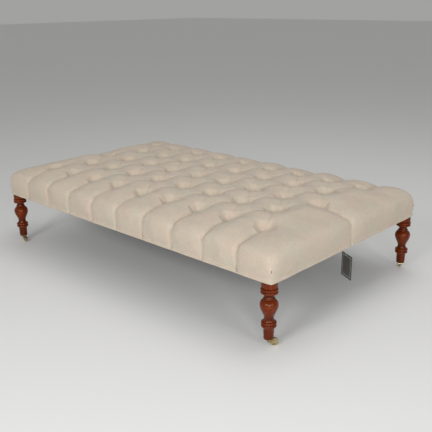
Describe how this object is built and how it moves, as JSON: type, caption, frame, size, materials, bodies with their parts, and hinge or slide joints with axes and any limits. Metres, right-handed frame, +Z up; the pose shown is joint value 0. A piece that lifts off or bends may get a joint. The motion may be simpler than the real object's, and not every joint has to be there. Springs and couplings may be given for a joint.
{
  "type": "ottoman coffee table",
  "caption": "Long low deep-buttoned linen ottoman coffee table on turned mahogany legs with brass castors.",
  "frame": {"origin": "on the floor under the middle of the table", "axes": "+X along the table's length, +Y across its width, away from the front, +Z up"},
  "size_m": [1.524, 0.924, 0.3661],
  "materials": {
    "mahogany": "turned mahogany with a red-brown French polish, glossy",
    "frame_timber": "planed beech, unfinished",
    "linen": "plain-weave natural linen, oatmeal, matt",
    "foam": "upholstery foam and wadding",
    "jute": "jute webbing",
    "hessian": "plain hessian",
    "twine": "waxed button twine",
    "black_cloth": "black cambric dust cover",
    "steel": "plain steel",
    "brass": "polished brass, lightly tarnished",
    "nylon": "clear nylon",
    "card": "blank pale card with a dark green edge line"
  },
  "bodies": {
    "root": {"long_rail_front": "frame_timber", "long_rail_back": "frame_timber", "end_rail_left": "frame_timber", "end_rail_right": "frame_timber", "cross_rails": "frame_timber", "corner_blocks": "frame_timber", "rail_dowels": "frame_timber", "cross_rail_screws": "steel", "leg_bolts": "steel", "leg_inserts": "steel", "webbing_long": "jute", "webbing_cross": "jute", "webbing_tacks": "steel", "hessian_sheet": "hessian", "foam_pad": "foam", "side_wadding": "foam", "linen_cover": "linen", "buttons": "linen", "button_twine": "twine", "twine_toggles": "frame_timber", "dust_cover": "black_cloth", "underside_staples": "steel", "ticket_staple": "steel", "leg_front_right": "mahogany", "castor_plate_front_right": "brass", "castor_screws_front_right": "brass", "leg_front_left": "mahogany", "castor_plate_front_left": "brass", "castor_screws_front_left": "brass", "leg_back_right": "mahogany", "castor_plate_back_right": "brass", "castor_screws_back_right": "brass", "leg_back_left": "mahogany", "castor_plate_back_left": "brass", "castor_screws_back_left": "brass"},
    "castor_front_right": {"castor_horn_front_right": "brass", "castor_axle_front_right": "steel"},
    "wheel_front_right": {"castor_wheel_front_right": "brass"},
    "castor_front_left": {"castor_horn_front_left": "brass", "castor_axle_front_left": "steel"},
    "wheel_front_left": {"castor_wheel_front_left": "brass"},
    "castor_back_right": {"castor_horn_back_right": "brass", "castor_axle_back_right": "steel"},
    "wheel_back_right": {"castor_wheel_back_right": "brass"},
    "castor_back_left": {"castor_horn_back_left": "brass", "castor_axle_back_left": "steel"},
    "wheel_back_left": {"castor_wheel_back_left": "brass"},
    "ticket_loop": {"ticket_tie": "nylon"},
    "ticket": {"ticket_card": "card", "ticket_eyelet": "brass"}
  },
  "joints": [
    {"name": "castor_swivel_front_right", "type": "hinge", "parent": "root", "child": "castor_front_right", "pos_m": [0.7294, -0.4314, 0.0257], "axis": [0, 0, 1], "continuous": true},
    {"name": "wheel_spin_front_right", "type": "hinge", "parent": "castor_front_right", "child": "wheel_front_right", "pos_m": [0.74058, -0.41482, 0.0127], "axis": [-0.829, 0.5592, 0], "continuous": true},
    {"name": "castor_swivel_front_left", "type": "hinge", "parent": "root", "child": "castor_front_left", "pos_m": [-0.7294, -0.4314, 0.0257], "axis": [0, 0, 1], "continuous": true},
    {"name": "wheel_spin_front_left", "type": "hinge", "parent": "castor_front_left", "child": "wheel_front_left", "pos_m": [-0.70965, -0.43453, 0.0127], "axis": [0.1564, 0.9877, 0], "continuous": true},
    {"name": "castor_swivel_back_right", "type": "hinge", "parent": "root", "child": "castor_back_right", "pos_m": [0.7294, 0.4314, 0.0257], "axis": [0, 0, 1], "continuous": true},
    {"name": "wheel_spin_back_right", "type": "hinge", "parent": "castor_back_right", "child": "wheel_back_right", "pos_m": [0.71822, 0.44798, 0.0127], "axis": [-0.829, -0.5592, 0], "continuous": true},
    {"name": "castor_swivel_back_left", "type": "hinge", "parent": "root", "child": "castor_back_left", "pos_m": [-0.7294, 0.4314, 0.0257], "axis": [0, 0, 1], "continuous": true},
    {"name": "wheel_spin_back_left", "type": "hinge", "parent": "castor_back_left", "child": "wheel_back_left", "pos_m": [-0.71408, 0.44426, 0.0127], "axis": [-0.6428, 0.766, 0], "continuous": true},
    {"name": "ticket_swing", "type": "hinge", "parent": "root", "child": "ticket_loop", "pos_m": [0.72, 0.031, 0.2208], "axis": [0.8854, -0.4648, 0], "range_deg": [-35, 35]},
    {"name": "ticket_tilt", "type": "hinge", "parent": "ticket_loop", "child": "ticket", "pos_m": [0.72, 0.031, 0.1706], "axis": [-0.4648, -0.8854, 0], "range_deg": [-60, 60]}
  ]
}
